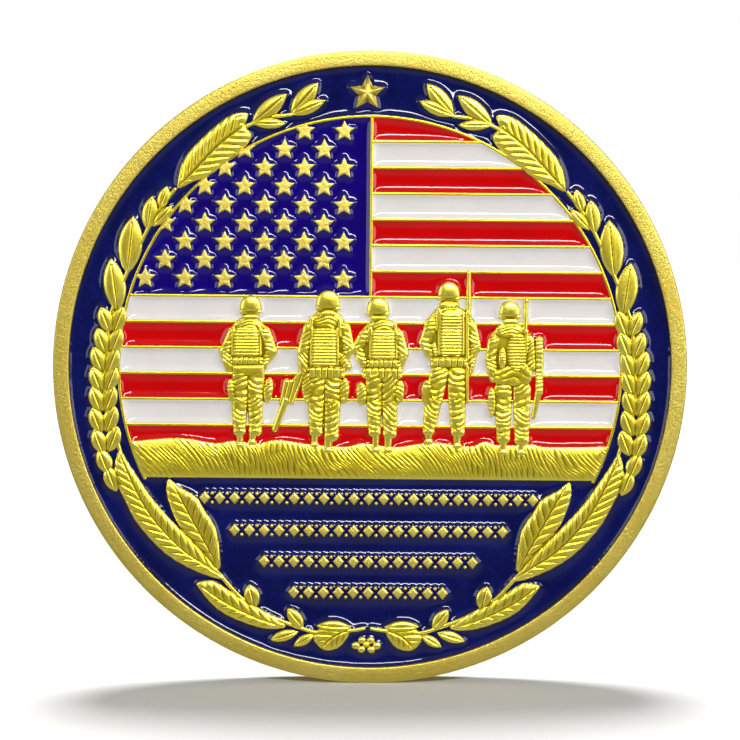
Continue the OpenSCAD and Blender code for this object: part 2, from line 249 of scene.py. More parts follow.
# ---- relief canvases
class Canvas:
    """Heights above the field over a box of the design, on the common grid."""
    MARGIN, REACH = 0.4, 0.35           # round the box, and round a shape for its side walls

    def __init__(self, x0, y0, x1, y1):
        self.i0, self.j0 = int((x0 - self.MARGIN) // PITCH), int((y0 - self.MARGIN) // PITCH)
        self.nx = int((x1 + self.MARGIN) // PITCH) + 1 - self.i0
        self.ny = int((y1 + self.MARGIN) // PITCH) + 1 - self.j0
        self.h = np.full((self.ny, self.nx), FOOT)

    def part(self, box):
        """The part of the canvas that a box touches: slices and the coordinates in it."""
        i = slice(max(int((box[0] - self.REACH) / PITCH) - self.i0 - 1, 0),
                  min(int((box[2] + self.REACH) / PITCH) - self.i0 + 2, self.nx))
        j = slice(max(int((box[1] - self.REACH) / PITCH) - self.j0 - 1, 0),
                  min(int((box[3] + self.REACH) / PITCH) - self.j0 + 2, self.ny))
        x, y = np.meshgrid(np.arange(self.nx)[i] + self.i0, np.arange(self.ny)[j] + self.j0)
        return (j, i), x * PITCH, y * PITCH

    def raised(self, shape, edge, crown, shoulder, pattern=None, clip=None):
        """Raises a shape: edge is the height of its outline, crown that of its middle, shoulder the width
        over which it rounds up from one to the other."""
        depth_of, box = shape
        where, x, y = self.part(box)
        if x.size == 0:
            return
        depth = depth_of(x, y)
        if clip is not None:
            depth = np.minimum(depth, clip(x, y))
        s = np.clip(depth / shoulder, 0, 1)
        z = edge + (crown - edge) * np.sqrt(1 - (1 - s) ** 2)
        if pattern is not None:
            z = z + pattern(x, y, depth)
        z = np.where(depth < 0, edge + depth * FLANK, z)
        self.h[where] = np.maximum(self.h[where], z)

    def mirrored(self):
        """The same canvas on the other side of the design."""
        other = Canvas(0, 0, 1, 1)
        other.i0, other.j0, other.nx, other.ny = -(self.i0 + self.nx - 1), self.j0, self.nx, self.ny
        other.h = self.h[:, ::-1].copy()
        return other


def blurred(h, cells):
    """Box blur, three passes."""
    for _ in range(3):
        for axis in (0, 1):
            pad = [(cells + 1, cells) if a == axis else (0, 0) for a in (0, 1)]
            c = np.cumsum(np.pad(h, pad, mode="edge"), axis=axis)
            n = h.shape[axis]
            top = np.take(c, np.arange(2 * cells + 1, 2 * cells + 1 + n), axis=axis)
            h = (top - np.take(c, np.arange(n), axis=axis)) / (2 * cells + 1)
    return h


# ---- meshes
def added(name, data):
    """A new object in the scene."""
    ob = bpy.data.objects.new(name, data)
    bpy.context.scene.collection.objects.link(ob)
    return ob


def mesh_of(name, points, quads, sharp=75.0, shades=None):
    """An object from an array of points in metres and one of quads."""
    me = bpy.data.meshes.new(name)
    me.vertices.add(len(points))
    me.vertices.foreach_set("co", np.ascontiguousarray(points, np.float32).ravel())
    me.loops.add(quads.size)
    me.loops.foreach_set("vertex_index", np.ascontiguousarray(quads, np.int32).ravel())
    me.polygons.add(len(quads))
    me.polygons.foreach_set("loop_start", np.arange(0, quads.size, 4, dtype=np.int32))
    me.update(calc_edges=True)
    me.validate()
    me.polygons.foreach_set("use_smooth", np.ones(len(me.polygons), bool))
    me.set_sharp_from_angle(angle=math.radians(sharp))
    for key, values in (shades or {}).items():
        layer = me.attributes.new(key, "FLOAT", "POINT")
        layer.data.foreach_set("value", np.ascontiguousarray(values, np.float32))
    return added(name, me)


def filled_corners(cells):
    """Adds cells so that none touch only at a corner."""
    while True:
        a, b = cells[:-1, :-1] & cells[1:, 1:], cells[:-1, 1:] & cells[1:, :-1]
        one = a & ~cells[:-1, 1:] & ~cells[1:, :-1]
        two = b & ~cells[:-1, :-1] & ~cells[1:, 1:]
        bad = one | two
        if not bad.any():
            return cells
        cells = cells.copy()
        for dj in (0, 1):
            for di in (0, 1):
                cells[dj:dj + bad.shape[0], di:di + bad.shape[1]] |= bad


def slab(name, top, cells, base, i0, j0, step=1, obverse=True, shades=None):
    """A closed solid over the chosen cells of a grid, from a flat base to the heights in top."""
    cells = filled_corners(np.pad(cells, 1))[1:-1, 1:-1]
    ny, nx = top.shape
    used = np.zeros((ny, nx), bool)
    for dj in (0, 1):
        for di in (0, 1):
            used[dj:ny - 1 + dj, di:nx - 1 + di] |= cells
    index = np.full((ny, nx), -1)
    index[used] = np.arange(used.sum())
    count = int(used.sum())
    j, i = np.nonzero(used)
    x, y = (i * step + i0) * PITCH, (j * step + j0) * PITCH
    points = np.vstack([place(x, y, top[used], obverse), place(x, y, np.full(count, base), obverse)])
    cj, ci = np.nonzero(cells)
    quad = np.stack([index[cj, ci], index[cj, ci + 1], index[cj + 1, ci + 1], index[cj + 1, ci]], 1)
    quads = [quad, quad[:, ::-1] + count]
    ring = np.pad(cells, 1)
    corners = [(0, 0), (0, 1), (1, 1), (1, 0)]
    for k, (dj, di) in enumerate([(-1, 0), (0, 1), (1, 0), (0, -1)]):
        a, b = corners[k], corners[(k + 1) % 4]
        open_side = cells & ~ring[1 + dj:ny + dj, 1 + di:nx + di]
        oj, oi = np.nonzero(open_side)
        p, q = index[oj + a[0], oi + a[1]], index[oj + b[0], oi + b[1]]
        quads.append(np.stack([q, p, p + count, q + count], 1))
    doubled = {k: np.concatenate([v[used], v[used]]) for k, v in (shades or {}).items()}
    return mesh_of(name, points, np.vstack(quads), shades=doubled)


# The last of these is the hollow depth at which the painted shade in the gold is darkest.
LEAST_RISE, ROOT, FULL_SHADE_DEPTH = 0.02, 0.05, 0.035     # what counts as raised; skirt below it; darkest hollow


def relief_piece(name, canvas, obverse=True, material=None):
    """A canvas as one struck piece, with how hollow each spot is kept in an attribute that paints shade into
    its hollows and a highlight onto its ridges.
    """
    h = canvas.h
    high = h > FOOT + LEAST_RISE
    cells = high[:-1, :-1] | high[1:, :-1] | high[:-1, 1:] | high[1:, 1:]
    seen = np.maximum(h, ENAMEL)
    # painted shading: a spot below its blurred surroundings is painted darker as shade, one above them
    # lighter as a highlight
    painted_shading = np.clip((blurred(seen, 3) - seen) / FULL_SHADE_DEPTH, -1, 1)
    ob = slab(name, np.maximum(h, FOOT), cells, FOOT - ROOT, canvas.i0, canvas.j0,
              obverse=obverse, shades={"painted_shading": painted_shading})
    finished(ob, material or gold, *STRUCK)


CAP = np.array([[0, 1, 6, 7], [1, 2, 5, 6], [2, 3, 4, 5]])    # closes the end of a profile of eight points


def ring_solid(profile, steps, start=0.0, end=360.0, obverse=True):
    """A closed profile of (radius, height) points turned about the coin's axis."""
    profile = np.array(profile, float)
    full = abs(end - start) >= 360
    angles = np.radians(np.linspace(start, end, steps + (0 if full else 1), endpoint=not full))
    x = np.cos(angles)[:, None] * profile[:, 0]
    y = np.sin(angles)[:, None] * profile[:, 0]
    z = np.broadcast_to(profile[:, 1], x.shape)
    n, m = x.shape
    points = place(x.ravel(), y.ravel(), z.ravel(), obverse)
    here = np.arange(n if full else n - 1)[:, None]
    row, row_after = here * m, (here + 1) % n * m
    left, right = np.arange(m), np.roll(np.arange(m), -1)
    quads = np.stack([row + left, row_after + left, row_after + right, row + right], -1).reshape(-1, 4)
    if not full:
        quads = np.vstack([quads, CAP, CAP[:, ::-1] + (n - 1) * m])
    return points, quads


def finished(ob, material, slot, *nodes):
    """Gives a piece its material, hangs it on the root body and hides the CAD parts that it stands for."""
    ob.data.materials.clear()
    ob.data.materials.append(material)
    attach(ob, "root")
    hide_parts(*nodes)


# ---- materials
def set_stops(node, stops):
    """Gives a colour ramp its (position, colour) stops."""
    elements = node.color_ramp.elements
    while len(elements) < len(stops):
        elements.new(0.5)
    for element, (position, colour) in zip(elements, stops):
        element.position = position
        element.color = (*colour, 1)


class Nodes:
    """Short names for building a material's node tree."""

    def __init__(self, name):
        self.material = bpy.data.materials.new(name)
        self.material.use_nodes = True
        self.tree = self.material.node_tree
        self.shader = next(n for n in self.tree.nodes if n.type == "BSDF_PRINCIPLED")
        self.place = self.add("ShaderNodeTexCoord").outputs["Object"]

    def add(self, kind, **values):
        node = self.tree.nodes.new(kind)
        for key, value in values.items():
            if hasattr(node, key):
                setattr(node, key, value)
            else:
                node.inputs[key.replace("_", " ")].default_value = value
        return node

    def link(self, out, into):
        self.tree.links.new(out, into)

    def noise(self, scale, detail=3.0):
        node = self.add("ShaderNodeTexNoise", Scale=scale, Detail=detail)
        self.link(self.place, node.inputs["Vector"])
        return node.outputs["Fac"]

    def ramp(self, value, *stops):
        """A colour ramp from (position, colour) stops."""
        node = self.add("ShaderNodeValToRGB")
        set_stops(node, stops)
        self.link(value, node.inputs["Fac"])
        return node.outputs["Color"]

    def mixed(self, fac, a, b, blend="MIX"):
        node = self.add("ShaderNodeMix", data_type="RGBA", blend_type=blend)
        slots = {"Factor": node.inputs[0], "A": node.inputs[6], "B": node.inputs[7]}
        for key, value in (("Factor", fac), ("A", a), ("B", b)):
            if isinstance(value, bpy.types.NodeSocket):
                self.link(value, slots[key])
            else:
                slots[key].default_value = value if key == "Factor" else (*value, 1)
        return node.outputs[2]

    def mapped(self, value, low, high, to_low, to_high):
        node = self.add("ShaderNodeMapRange")
        for k, v in enumerate((low, high, to_low, to_high)):
            node.inputs[k + 1].default_value = v
        self.link(value, node.inputs["Value"])
        return node.outputs["Result"]

    def bump(self, height, distance, strength=1.0, after=None):
        node = self.add("ShaderNodeBump", Strength=strength, Distance=distance)
        self.link(height, node.inputs["Height"])
        if after is not None:
            self.link(after, node.inputs["Normal"])
        return node.outputs["Normal"]


GOLD_PITS, GOLD_DENTS, GOLD_CLOUDS = 14000.0, 4200.0, 260.0           # noise scales, per metre
ENAMEL_SPECKS, ENAMEL_WAVES, ENAMEL_CLOUDS = 5200.0, 900.0, 420.0


def gold_material(name, grain, rough, light, mid, hollow_shade):
    """Gold plating over a sandblasted or polished strike: tiny pits, with painted shade darkening its
    hollows and a painted highlight lightening its ridges.
    """
    n = Nodes(name)
    n.shader.inputs["Metallic"].default_value = 1.0
    painted_shading = n.add("ShaderNodeAttribute", attribute_name="painted_shading").outputs["Fac"]
    # painted shading: the first colour is a painted highlight on ridges, the middle the gold's own colour,
    # the last a painted shade in hollows
    tone = n.ramp(n.mapped(painted_shading, -1, 1, 0, 1), (0.12, light), (0.45, mid), (0.85, hollow_shade))
    cloud = n.mapped(n.noise(GOLD_CLOUDS, 4.0), 0.3, 0.7, 0, 0.35)
    n.link(n.mixed(cloud, tone, mid, "MULTIPLY"), n.shader.inputs["Base Color"])
    pits = n.noise(GOLD_PITS, 2.0)
    n.link(n.mapped(pits, 0.3, 0.7, rough - 0.06, rough + 0.08), n.shader.inputs["Roughness"])
    fine = n.bump(pits, grain)
    n.link(n.bump(n.noise(GOLD_DENTS, 3.0), grain * 1.6, after=fine), n.shader.inputs["Normal"])
    return n.material


def enamel_material(name, colour, deep, speckle):
    """Glossy soft enamel: an even colour with faint clouding, dust specks and a barely wavy surface."""
    n = Nodes(name)
    cloud = n.mapped(n.noise(ENAMEL_CLOUDS, 4.0), 0.35, 0.65, 0, 1)
    base = n.mixed(cloud, colour, deep)
    specks = n.mapped(n.noise(ENAMEL_SPECKS, 2.0), 0.62, 0.75, 0, speckle)
    dust = tuple(min(1.0, c * 1.6 + 0.02) for c in colour)
    n.link(n.mixed(specks, base, dust), n.shader.inputs["Base Color"])
    n.shader.inputs["Roughness"].default_value = 0.07
    n.shader.inputs["Specular IOR Level"].default_value = 0.38
    n.link(n.bump(n.noise(ENAMEL_WAVES, 3.0), 0.000004), n.shader.inputs["Normal"])
    return n.material


# each gold: painted highlight on ridges, its own colour, painted shade in hollows
gold = gold_material("struck_gold", 0.0000035, 0.33,
                     (1.0, 0.89, 0.16), (0.98, 0.82, 0.05), (0.40, 0.29, 0.01))
gold_matte = gold_material("sandblasted_gold", 0.000016, 0.42,
                           (0.92, 0.775, 0.185), (0.84, 0.685, 0.145), (0.36, 0.27, 0.035))
navy = enamel_material("navy_enamel", (0.0035, 0.006, 0.088), (0.002, 0.0035, 0.058), 0.35)
violet = enamel_material("violet_enamel", (0.006, 0.0004, 0.15), (0.005, 0.0003, 0.125), 0.15)
red = enamel_material("red_enamel", (0.53, 0.0006, 0.0014), (0.48, 0.0005, 0.0011), 0.06)
white = enamel_material("white_enamel", (0.68, 0.65, 0.625), (0.645, 0.615, 0.59), 0.0)


# ---- camera first, then the coin
def look(ob, target):
    ob.rotation_mode = "QUATERNION"
    ob.rotation_quaternion = (Vector(target) - ob.location).to_track_quat("-Z", "Y")


def make_camera():
    view_w, lens, sensor = 59.25 / MM, 105.0, 36.0
    elevation = math.radians(3.0)
    away = view_w * lens / sensor
    cam = bpy.data.cameras.new("camera")
    cam.lens, cam.sensor_width = lens, sensor
    cam.clip_start, cam.clip_end = 0.01, 20
    ob = added("camera", cam)
    centre = Vector((0, -HALF_T / MM, (CENTRE_Z - 0.1) / MM))
    ob.location = centre + away * Vector((0, -math.cos(elevation), math.sin(elevation)))
    look(ob, centre)
    bpy.context.scene.camera = ob


make_camera()


# ---- the blank: rims, edge and fields
def rounded(r, z, dr, dz, size, steps=5):
    """A rounded corner from the flat into the wall, as (radius, height). dr and dz point into the metal."""
    a = np.radians(np.linspace(0, 90, steps))
    return [(r + dr * size * (1 - math.sin(t)), z + dz * size * (1 - math.cos(t))) for t in a]


def make_blank():
    bevel, inner_bevel = 0.15, 0.12
    top, mid = DEPTH, -FIELD_Z          # the rim and the coin's mid-plane, from the obverse's floor
    inner = FIELD_R + 0.04              # the wall leans out by this much
    half = [(0.001, 0.0), (8.0, 0.0), (16.0, 0.0), (FIELD_R - 0.1, 0.0), (FIELD_R, 0.03)]
    half += rounded(inner, top, 1, -1, inner_bevel)[::-1]
    half += [(inner + 0.5, top), (COIN_R - bevel - 0.3, top)]
    half += rounded(COIN_R, top, -1, -1, bevel)
    half += [(COIN_R, (top + mid) / 2)]
    other = [(r, 2 * mid - z) for r, z in reversed(half)]
    points, quads = ring_solid(half + other, 720)
    ob = mesh_of("coin_blank", points, quads, sharp=40.0)
    finished(ob, gold_matte, *STRUCK)


def line_profile(width, top, crown=0.05):
    """Across a raised line: (offset, height) from foot to foot."""
    half, lift = width / 2, (top - FOOT) / FLANK
    side = [(-half - lift, FOOT), (-half, top - crown), (-half + 0.035, top - 0.012), (-0.02, top)]
    return side + [(-offset, z) for offset, z in reversed(side)]


def make_lines():
    """The round frame of the flag, and the straight lines between its pools."""
    profile = line_profile(LINE_W, LINE_TOP)
    reach = math.degrees(math.asin(-GROUND_Y / FRAME_R)) + 0.5
    points, quads = ring_solid([(FRAME_R + o, z) for o, z in reversed(profile)], 540, -reach, 180 + reach)
    finished(mesh_of("flag_frame", points, quads), gold, *STRUCK)
    spans = []
    for k in range(STRIPES - 1):
        y = line_y(k)
        half = math.sqrt(FRAME_R**2 - y**2)
        spans.append(((0 if k < SHORT_STRIPES - 1 else -half, y), (half, y)))
    spans.append(((0, CANTON_Y), (0, FRAME_R)))
    points, quads = [], []
    for a, b in spans:
        a, b = np.array(a), np.array(b)
        along = (b - a) / math.dist(a, b)
        side = np.array([-along[1], along[0]])
        base = sum(map(len, points))
        m = len(profile)
        for end in (a, b):
            at = end + np.array([o for o, _ in profile])[:, None] * side
            points.append(place(at[:, 0], at[:, 1], np.array([z for _, z in profile])))
        k = np.arange(m)
        quads += [base + np.stack([k, np.roll(k, -1), np.roll(k, -1) + m, k + m], 1),
                  base + CAP[:, ::-1], base + m + CAP]
    finished(mesh_of("flag_lines", np.vstack(points), np.vstack(quads)), gold, *STRUCK)


# ---- wreath
def midrib(root, tip, width=0.06, amount=0.09):
    root, tip = np.array(root), np.array(tip)
    return grooves([[root, root + 0.86 * (tip - root)]], width, amount)


def plain_leaf(canvas, root, tip, width, crown=0.84):
    canvas.raised(leaf(root, tip, width), EDGE, crown, width * 0.42, midrib(root, tip))


def fluted(rib, pitch, slant, amount=0.07):
    """Side ribs that slant away from a curved midrib, and a groove along it."""
    rib = smooth(rib, 4)
    lengths = np.concatenate([[0], np.cumsum(np.hypot(*np.diff(rib, axis=0).T))])

    def pattern(x, y, depth):
        far = np.full(x.shape, FAR)
        s = np.zeros(x.shape)
        for a, b, s0 in zip(rib[:-1], rib[1:], lengths[:-1]):
            t, d = segment(x, y, a, b)
            s = np.where(d < far, s0 + t * math.dist(a, b), s)
            far = np.minimum(far, d)
        left = np.interp(s, lengths, np.arange(len(rib)))
        k = np.clip(left.astype(int), 0, len(rib) - 2)
        step = rib[k + 1] - rib[k]
        side = np.sign(step[..., 0] * (y - rib[k][..., 1]) - step[..., 1] * (x - rib[k][..., 0]))
        u = (s - slant * far * (1 - 0.12 * far)) / pitch + 0.25 * side
        flutes = np.abs(np.sin(math.pi * u)) ** 0.7 - 0.7
        groove = np.exp(-((far / 0.07) ** 2))
        return (amount * flutes * np.clip(far / 0.25, 0, 1) - 0.07 * groove) * np.clip(depth / 0.1, 0, 1)
    return pattern


SMALL_LEAVES = [
    ((-6.5, 20.3), (-4.3, 22.8), 1.4), ((-6.5, 20.2), (-3.7, 21.4), 1.1),
    ((-9.6, 19.5), (-6.8, 21.9), 1.4), ((-9.6, 19.5), (-6.8, 19.5), 0.9),
    ((-16.9, 12.6), (-16.3, 14.5), 1), ((-17.9, 10.9), (-17.5, 13.7), 1.3),
    ((-17.5, 11.2), (-15.9, 12.9), 0.9), ((-19.5, 7.4), (-19, 12.1), 1.95),
    ((-20.2, 4.3), (-20.8, 8.7), 1.8),
    ((-9.1, -19.4), (-9.6, -17.5), 1.3), ((-5.2, -21), (-6.5, -19.4), 1.1),
    ((-5.6, -21.3), (-7.9, -22), 0.95), ((-4.3, -21.5), (-6, -22.5), 0.85),
]
# Broad leaves: outline, midrib from root to tip, how far apart its side ribs are and how much they slant
BROAD_LEAVES = [
    ([(-20.1, -6.7), (-20.5, -8.8), (-19.6, -10.9), (-18.6, -12.7), (-16.8, -14.7), (-15.1, -15.9),
      (-13.1, -16.8), (-11.5, -17.1), (-12.2, -16.2), (-13.1, -15.1), (-14.5, -13.7), (-16.1, -12.1),
      (-17.4, -10.6), (-18.5, -9), (-19.3, -7.8)],
     [(-11.4, -17.1), (-12.9, -16.1), (-14.9, -14.8), (-16.9, -12.8), (-18.4, -10.6), (-19.9, -7.4)],
     0.8, 1.5),
    ([(-12, -16.3), (-13.6, -14.7), (-15.2, -12.9), (-16, -11.2), (-16.3, -10.1), (-16.15, -9),
      (-15.3, -9.6), (-13.9, -10.4), (-13.2, -11.5), (-12.4, -12.7), (-12, -14.3)],
     [(-11.9, -16.4), (-12.9, -14.6), (-14.3, -12.1), (-15.8, -9.3)], 0.9, 1.2),
    ([(-15.5, 14.3), (-15.3, 15.9), (-14.7, 17.1), (-13.8, 18.1), (-12.5, 19.3), (-11.2, 20.2), (-9.9, 20.3),
      (-10.1, 19.3), (-9.6, 18.7), (-9.8, 18), (-10.6, 17.2), (-11.8, 16.2), (-12.8, 15.4), (-14.2, 14.8)],
     [(-15.6, 14.2), (-14, 15.9), (-12.2, 17.8), (-10.4, 19.2)], 0.78, 1.4),
    ([(-13.8, -17.4), (-12.5, -17.2), (-11.3, -17.9), (-9.9, -18.8), (-8, -19.8), (-6.6, -20.9),
      (-8.3, -21.1), (-10.6, -20.4), (-12.2, -19.5), (-13.4, -18.2)],
     [(-6.6, -21), (-9, -20.2), (-11.5, -19), (-13.7, -17.5)], 0.85, 1.3),
]
EAR_OUTER = [(-21.6, 4.8), (-21.9, 3.1), (-22.2, 1.6), (-22.3, 0), (-22.3, -1.6), (-22.3, -3.3),
             (-22.1, -5), (-21.7, -6.6), (-21.1, -8)]
EAR_INNER = [(-19.8, 4.8), (-20, 3.1), (-20.3, 1.5), (-20.4, 0), (-20.5, -1.6), (-20.4, -3.2), (-20.2, -4.8)]
STEMS = [
    [(-6.5, 20.2), (-8, 20), (-9.7, 19.4), (-10.6, 18.9)],
    [(-15.7, 14.2), (-17.3, 12), (-18.7, 9.3), (-19.8, 6.8), (-20.9, 3.8), (-21.1, 0.8), (-21.3, -1.2),
     (-21.2, -2.7), (-20.9, -4.2), (-20.2, -6.2), (-19.8, -7.7)],
    [(-11.8, -16.9), (-10, -18.8), (-7.8, -20.1), (-4, -21.4), (-1.5, -21.2), (-0.3, -21)],
]
FLOWER = (-0.1, -22.3)


def wreath_branch():
    c = Canvas(-23, -23.6, 0.3, 23.2)
    for points in STEMS:
        line = smooth(points, 5)
        for a, b in zip(line[:-1], line[1:]):
            c.raised(bar(a, b, 0.17, 0.17), 0.58, 0.74, 0.16)
    for tip in EAR_INNER:
        plain_leaf(c, (tip[0] - 0.8, tip[1] - 2.1), tip, 1.3, 0.8)
    for tip in EAR_OUTER:
        plain_leaf(c, (tip[0] + 0.8, tip[1] - 2.1), tip, 1.3, 0.84)
    for root, tip, width in SMALL_LEAVES:
        plain_leaf(c, root, tip, width)
    for edge, rib, pitch, slant in BROAD_LEAVES:
        c.raised(outline(smooth(edge, 4, closed=True)), EDGE, 0.85, 0.6, fluted(rib, pitch, slant))
    round_leaf = [(-1.4, -21.1), (-2.5, -20.7), (-3.9, -21), (-4.4, -21.9), (-3.5, -22.8), (-2.2, -22.5)]
    c.raised(outline(smooth(round_leaf, 5, closed=True)), EDGE, 0.83, 0.8,
             fluted([(-1.4, -21.1), (-2.8, -21.7), (-3.8, -22.7)], 0.6, 1))
    c.raised(leaf((-1.3, -20.9), (-4.2, -20.8), 1), 0.62, 0.86, 0.35, midrib((-1.3, -20.9), (-4.2, -20.8)))
    return c


def flower():
    c = Canvas(FLOWER[0] - 1.6, FLOWER[1] - 1.2, FLOWER[0] + 1.6, FLOWER[1] + 1.2)
    petals = [(-0.85, -0.1, 0.36), (-0.35, 0.35, 0.34), (0.35, 0.33, 0.34), (0.85, -0.1, 0.36),
              (-0.4, -0.4, 0.34), (0.4, -0.42, 0.34)]
    for dx, dy, r in petals:
        c.raised(oval((FLOWER[0] + dx, FLOWER[1] + dy), r, r * 0.9), EDGE, 0.82, 0.3)
    c.raised(oval(FLOWER, 0.3, 0.3 * 0.9), EDGE, 0.86, 0.3)
    return c


def faceted_star(at, r, waist, edge, rise, shoulder, curve):
    """A star with a ridge along each point, from which it falls to its edge over the width of shoulder."""
    c = Canvas(at[0] - r, at[1] - r, at[0] + r, at[1] + r)
    depth_of, box = star(at, r, waist)
    where, x, y = c.part(box)
    depth = depth_of(x, y)
    ridge = np.full(x.shape, FAR)
    for k in range(5):
        tip = at[0] + r * math.sin(k * FIFTH), at[1] + r * math.cos(k * FIFTH)
        ridge = np.minimum(ridge, segment(x, y, at, tip)[1])
    facet = np.clip(depth / np.maximum(depth + ridge, TINY), 0, 1)
    top = edge + rise * facet * np.clip(depth / shoulder, 0, 1) ** curve
    c.h[where] = np.maximum(c.h[where], np.where(depth < 0, edge + depth * FLANK, top))
    return c


def canton_stars():
    c = Canvas(-20.2, 5.7, 0.2, 20.2)
    inside = lambda x, y: FRAME_R - np.hypot(x, y)
    for row in range(9):
        x, y = (-2.2 if row % 2 == 0 else -3.8), 7.1 + 1.48 * row
        for k in range(6):
            at = (x - 3.17 * k, y)
            if math.hypot(*at) < FRAME_R + 0.2:
                c.raised(star(at, STAR_R), 0.62, 0.68, 0.12, clip=inside)
    return c


def ornament_rows():
    """Four centred rows of lozenges and beads."""
    pitch, height = 1.2, 1.1
    c = Canvas(-13.8, -19, 13.8, -9.8)
    for y, half in ((-10.5, 13.2), (-13.1, 11.5), (-15.6, 8.9), (-18.1, 6.7)):
        n = int(half / pitch)
        for k in range(-n, n + 1):
            x, w = k * pitch, 0.78 * pitch
            c.raised(outline([(x + w / 2, y), (x, y + height / 2), (x - w / 2, y), (x, y - height / 2)]),
                     0.61, 0.74, 0.22)
            if k < n:
                for end in (-1, 1):
                    c.raised(oval((x + pitch / 2, y + end * height / 3), 0.15, 0.15), EDGE, 0.72, 0.14)
    return c


# ---- the ground and the figures
GROUND_TOP = [(-20, -6.1), (-15.5, -5.7), (-12.5, -6.1), (-11, -5.9), (-9, -6.1), (-7.5, -5.8), (-5, -6.1),
              (-2, -6.3), (-0.5, -6), (2, -6.3), (5, -5.9), (8, -6.2), (9.2, -5.8), (10.5, -6.1), (13, -6),
              (14.5, -6.2), (20, -6.1)]


def ground():
    c = Canvas(-20, GROUND_Y - 0.1, 20, -5.6)
    top = smooth(GROUND_TOP, 4)

    def grass(x, y, depth):
        blade = x + (y + 7) * (0.6 + 0.5 * np.sin(0.33 * x + 1)) + 0.15 * np.sin(0.9 * x + 0.7 * y)
        tufts = np.abs(np.sin(math.pi * blade / 0.43 + 0.7 * np.sin(1.7 * x + 2.3 * y)))
        small = np.abs(np.sin(math.pi * (blade + 0.3 * y) / 0.26 + 0.9 * np.sin(2.3 * x - 1.9 * y)))
        fade = 0.55 + 0.45 * np.sin(1.7 * x + 3.7 * y + 2 * np.sin(1.3 * x))
        blades = 0.055 * fade * (tufts - 0.8) + 0.045 * (1.1 - fade) * (small - 0.7)
        return blades * np.clip(depth / 0.1, 0, 1)

    shape = outline(list(map(tuple, top)) + [(20, GROUND_Y), (-20, GROUND_Y)])
    c.raised(shape, 0.62, 0.8, 1.3, grass, clip=lambda x, y: FRAME_R - np.hypot(x, y))
    return c


def helmet(c, at, r):
    """A dome with a slightly flared rim, over the neck."""
    x, y = at
    small, low = r * 0.3, y - r * 0.95
    c.raised(bar((x - small, low), (x + small, low), small, small), *BODY, small)
    half = [(0, 1), (0.45, 0.9), (0.8, 0.55), (0.94, 0.1), (0.98, -0.4), (0.9, -0.62), (0.5, -0.72)]
    edge = half + [(0, -0.75)] + [(-u, v) for u, v in reversed(half[1:])]
    dome = smooth([(x + r * u, y + r * v) for u, v in edge], 3, closed=True)
    hem = [(-0.9, -0.3), (-0.45, -0.43), (0, -0.46), (0.45, -0.43), (0.9, -0.3)]
    band = smooth([(x + r * u, y + r * v) for u, v in hem], 3)
    c.raised(outline(dome), 0.62, 0.9, r * 0.85, grooves([band], 0.07, 0.05))


def trousers(c, hip, knee, cuff, r_hip, r_cuff, lean, shift):
    """A leg in bloused trousers. lean and shift set how its folds run."""
    c.raised(bar(hip, knee, r_hip, r_hip * 0.9), 0.62, 0.84, r_hip,
             folds(hip, knee, 0.52, 0.1, 0.35, lean, shift))
    c.raised(bar(knee, cuff, r_hip * 0.9, r_cuff), 0.62, 0.86, r_hip * 0.9,
             folds(knee, cuff, 0.43, 0.13, 0.4, -lean, shift + 0.3))
    c.raised(oval((cuff[0], cuff[1] - r_cuff * 0.3), r_cuff * 1.04, r_cuff * 0.75), 0.62, 0.86, r_cuff * 0.6)


def boot(c, at, r, length):
    x, y = at
    c.raised(bar((x, y + length), (x, y + 0.25), r * 0.95, r * 0.8), 0.62, 0.82, r * 0.8)
    c.raised(oval((x, y + 0.15), r * 1.15, r * 0.8), 0.62, 0.87, r * 0.7)


def sleeve(c, shoulder, elbow, wrist, r, lean):
    c.raised(bar(shoulder, elbow, r * 1.08, r * 0.98), 0.62, 0.83, r,
             folds(shoulder, elbow, 0.45, 0.085, 0.3, lean, shoulder[0]))
    c.raised(bar(elbow, wrist, r, r * 0.72), 0.62, 0.82, r * 0.85,
             folds(elbow, wrist, 0.4, 0.1, 0.3, -lean, elbow[0]))


def vest(c, x0, x1, y0, y1, rib=0.255):
    """The back of a vest with rows of webbing between two side straps."""
    x, y = (x0 + x1) / 2, (y0 + y1) / 2
    body = smooth([(x0, y0), (x0 - 0.05, y), (x0 + 0.05, y1), (x, y1 + 0.12), (x1 - 0.05, y1),
                   (x1 + 0.05, y), (x1, y0), (x, y0 - 0.06)], 4, closed=True)
    c.raised(outline(body), 0.76, 0.9, 0.25, ribs(y0, rib, 0.085))
    for x, lean in ((x0 - 0.14, 0.04), (x1 + 0.14, -0.04)):
        c.raised(bar((x, y0 + 0.1), (x + lean, y1 + 0.1), 0.13, 0.13), 0.7, 0.87, 0.13)


def belt(c, x0, x1, y0, y1, pitch=0.42, crown=0.88):
    y = (y0 + y1) / 2
    edge = smooth([(x0, y0), (x0 - 0.08, y), (x0, y1), (x1, y1), (x1 + 0.08, y), (x1, y0)], 3, closed=True)
    c.raised(outline(edge), 0.68, crown, 0.2, pouches(x0, pitch, 0.1))


# Heights of a shape's edge and of its crown: the trunk behind everything, then what lies on it
BODY, POUCH, CLOTH, ROLL = (0.62, 0.78), (0.62, 0.8), (0.64, 0.84), (0.64, 0.82)
STRAP, HIGH_STRAP = (0.7, 0.86), (0.72, 0.87)


